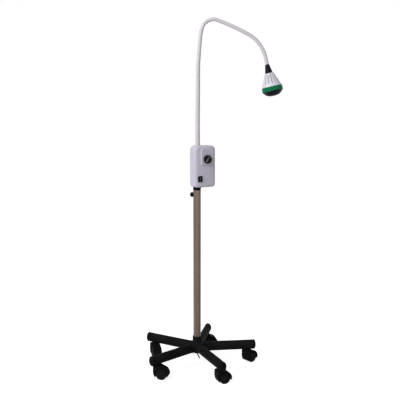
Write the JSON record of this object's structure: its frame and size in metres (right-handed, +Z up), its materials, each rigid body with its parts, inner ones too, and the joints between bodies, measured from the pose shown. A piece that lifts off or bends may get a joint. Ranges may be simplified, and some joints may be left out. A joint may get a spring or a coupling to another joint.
{
  "type": "examination lamp",
  "caption": "Rolling examination lamp: a conical lamp head on a gooseneck, a control box with dimmer knob and rocker switch, and a telescopic pole on a star base with twin-wheel casters.",
  "frame": {"origin": "on the floor, under the centre of the overall bounding box, at rest", "axes": "+Z up, +X to the right across the picture, towards the side the lamp head hangs on, +Y away from the viewer"},
  "size_m": [0.6169, 0.5218, 1.5617],
  "materials": {
    "black_nylon": "moulded black nylon, fine grain",
    "board_green": "circuit board",
    "plate_plastic": "mid lavender-grey panel",
    "box_plastic": "pale lavender-grey moulding, fine grain",
    "glass": "dark front glass, polished",
    "ceramic": "lamp capsule on a pale ceramic base",
    "green_plastic": "dark green moulding, satin",
    "white_plastic": "white moulding, satin",
    "black_powder_coat": "semi-gloss black powder coat",
    "stainless": "drawn stainless tube, satin",
    "black_rubber": "matt black rubber",
    "steel": "plain bright steel",
    "neck_sleeve": "smooth pale grey sleeving",
    "aluminium": "polished reflector",
    "rocker_green": "dark green translucent rocker",
    "iron": "laminated core with its winding"
  },
  "bodies": {
    "stand": {"hub": "black_powder_coat", "lead_sleeve": "black_rubber", "leg_1": "black_powder_coat", "leg_2": "black_powder_coat", "leg_3": "black_powder_coat", "leg_4": "black_powder_coat", "leg_5": "black_powder_coat", "leg_plug_1": "black_nylon", "leg_plug_2": "black_nylon", "leg_plug_3": "black_nylon", "leg_plug_4": "black_nylon", "leg_plug_5": "black_nylon", "pole": "stainless", "pole_bush": "black_nylon"},
    "clamp_knob": {"clamp_knob": "black_nylon"},
    "mast": {"inner_tube": "stainless", "tube_nut": "steel"},
    "control_box": {"front_cover": "box_plastic", "rear_housing": "box_plastic", "dial_plate": "plate_plastic", "potentiometer": "steel", "switch_frame": "black_nylon", "transformer": "iron", "control_board": "board_green", "fuse_holder": "black_nylon", "neck_socket": "steel", "neck_core_1": "steel", "neck_sleeve_1": "neck_sleeve"},
    "dimmer_knob": {"dimmer_knob": "black_nylon"},
    "switch_rocker": {"switch_rocker": "rocker_green"},
    "neck_lower": {"neck_core_2": "steel", "neck_sleeve_2": "neck_sleeve"},
    "neck_arch": {"neck_core_3": "steel", "neck_sleeve_3": "neck_sleeve"},
    "neck_arm": {"neck_core_4": "steel", "neck_sleeve_4": "neck_sleeve"},
    "head": {"neck_core_5": "steel", "head_collar": "black_nylon", "head_shell": "white_plastic", "head_ring": "green_plastic", "head_bezel": "black_nylon", "front_lens": "glass", "reflector": "aluminium", "halogen_lamp": "ceramic"},
    "caster_1": {"caster_fork_1": "black_nylon"},
    "wheel_left_1": {"caster_wheel_left_1": "black_nylon"},
    "wheel_right_1": {"caster_wheel_right_1": "black_nylon"},
    "caster_2": {"caster_fork_2": "black_nylon"},
    "wheel_left_2": {"caster_wheel_left_2": "black_nylon"},
    "wheel_right_2": {"caster_wheel_right_2": "black_nylon"},
    "caster_3": {"caster_fork_3": "black_nylon"},
    "wheel_left_3": {"caster_wheel_left_3": "black_nylon"},
    "wheel_right_3": {"caster_wheel_right_3": "black_nylon"},
    "caster_4": {"caster_fork_4": "black_nylon"},
    "wheel_left_4": {"caster_wheel_left_4": "black_nylon"},
    "wheel_right_4": {"caster_wheel_right_4": "black_nylon"},
    "caster_5": {"caster_fork_5": "black_nylon"},
    "wheel_left_5": {"caster_wheel_left_5": "black_nylon"},
    "wheel_right_5": {"caster_wheel_right_5": "black_nylon"}
  },
  "joints": [
    {"name": "clamp_screw", "type": "hinge", "parent": "stand", "child": "clamp_knob", "pos_m": [-0.083, -0.0086, 0.7935], "axis": [-1, 0, 0], "range_deg": [0, 360]},
    {"name": "mast_height", "type": "slide", "parent": "stand", "child": "mast", "axis": [0, 0, 1], "range_m": [0, 0.3]},
    {"name": "box_swivel", "type": "hinge", "parent": "mast", "child": "control_box", "pos_m": [-0.066, -0.0086, 0.8271], "axis": [0, 0, 1], "range_deg": [-170, 170]},
    {"name": "dimmer", "type": "hinge", "parent": "control_box", "child": "dimmer_knob", "pos_m": [-0.02184, -0.02136, 0.952], "axis": [0.4695, -0.8829, 0], "range_deg": [-135, 135]},
    {"name": "power_switch", "type": "hinge", "parent": "control_box", "child": "switch_rocker", "pos_m": [-0.05289, -0.03538, 0.866], "axis": [0.8829, 0.4695, 0], "range_deg": [-14, 0]},
    {"name": "neck_foot_bend", "type": "hinge", "parent": "control_box", "child": "neck_lower", "pos_m": [-0.06311, -0.0086, 1.1223], "axis": [0, 1, 0], "range_deg": [-25, 25], "deforming": ["neck_sleeve_1"]},
    {"name": "neck_arch_bend", "type": "hinge", "parent": "neck_lower", "child": "neck_arch", "pos_m": [-0.06079, -0.0086, 1.35228], "axis": [1, 0, 0], "range_deg": [-25, 25], "deforming": ["neck_sleeve_2"]},
    {"name": "neck_arm_bend", "type": "hinge", "parent": "neck_arch", "child": "neck_arm", "pos_m": [0.07404, -0.0086, 1.53083], "axis": [0, 1, 0], "range_deg": [-30, 30], "deforming": ["neck_sleeve_3"]},
    {"name": "head_bend", "type": "hinge", "parent": "neck_arm", "child": "head", "pos_m": [0.19788, -0.00884, 1.45779], "axis": [0, 1, 0], "range_deg": [-35, 35], "deforming": ["neck_sleeve_4"]},
    {"name": "caster_swivel_1", "type": "hinge", "parent": "stand", "child": "caster_1", "pos_m": [0.1665, 0.01789, 0.0755], "axis": [0, 0, 1], "continuous": true},
    {"name": "wheel_left_roll_1", "type": "hinge", "parent": "caster_1", "child": "wheel_left_1", "pos_m": [0.17319, 0.04034, 0.025], "axis": [-0.6691, 0.7431, 0], "continuous": true},
    {"name": "wheel_right_roll_1", "type": "hinge", "parent": "caster_1", "child": "wheel_right_1", "pos_m": [0.18952, 0.02221, 0.025], "axis": [-0.6691, 0.7431, 0], "continuous": true},
    {"name": "caster_swivel_2", "type": "hinge", "parent": "stand", "child": "caster_2", "pos_m": [0.03104, -0.22153, 0.0755], "axis": [0, 0, 1], "continuous": true},
    {"name": "wheel_left_roll_2", "type": "hinge", "parent": "caster_2", "child": "wheel_left_2", "pos_m": [0.04435, -0.20225, 0.025], "axis": [-0.4067, 0.9135, 0], "continuous": true},
    {"name": "wheel_right_roll_2", "type": "hinge", "parent": "caster_2", "child": "wheel_right_2", "pos_m": [0.05427, -0.22454, 0.025], "axis": [-0.4067, 0.9135, 0], "continuous": true},
    {"name": "caster_swivel_3", "type": "hinge", "parent": "stand", "child": "caster_3", "pos_m": [-0.23852, -0.16669, 0.0755], "axis": [0, 0, 1], "continuous": true},
    {"name": "wheel_left_roll_3", "type": "hinge", "parent": "caster_3", "child": "wheel_left_3", "pos_m": [-0.21593, -0.16047, 0.025], "axis": [0.2756, 0.9613, 0], "continuous": true},
    {"name": "wheel_right_roll_3", "type": "hinge", "parent": "caster_3", "child": "wheel_right_3", "pos_m": [-0.22266, -0.18393, 0.025], "axis": [0.2756, 0.9613, 0], "continuous": true},
    {"name": "caster_swivel_4", "type": "hinge", "parent": "stand", "child": "caster_4", "pos_m": [-0.26966, 0.10663, 0.0755], "axis": [0, 0, 1], "continuous": true},
    {"name": "wheel_left_roll_4", "type": "hinge", "parent": "caster_4", "child": "wheel_left_4", "pos_m": [-0.25136, 0.09201, 0.025], "axis": [0.9397, 0.342, 0], "continuous": true},
    {"name": "wheel_right_roll_4", "type": "hinge", "parent": "caster_4", "child": "wheel_right_4", "pos_m": [-0.27429, 0.08366, 0.025], "axis": [0.9397, 0.342, 0], "continuous": true},
    {"name": "caster_swivel_5", "type": "hinge", "parent": "stand", "child": "caster_5", "pos_m": [-0.01935, 0.2207, 0.0755], "axis": [0, 0, 1], "continuous": true},
    {"name": "wheel_left_roll_5", "type": "hinge", "parent": "caster_5", "child": "wheel_left_5", "pos_m": [-0.00232, 0.23679, 0.025], "axis": [-0.2079, 0.9781, 0], "continuous": true},
    {"name": "wheel_right_roll_5", "type": "hinge", "parent": "caster_5", "child": "wheel_right_5", "pos_m": [0.00275, 0.21293, 0.025], "axis": [-0.2079, 0.9781, 0], "continuous": true}
  ]
}
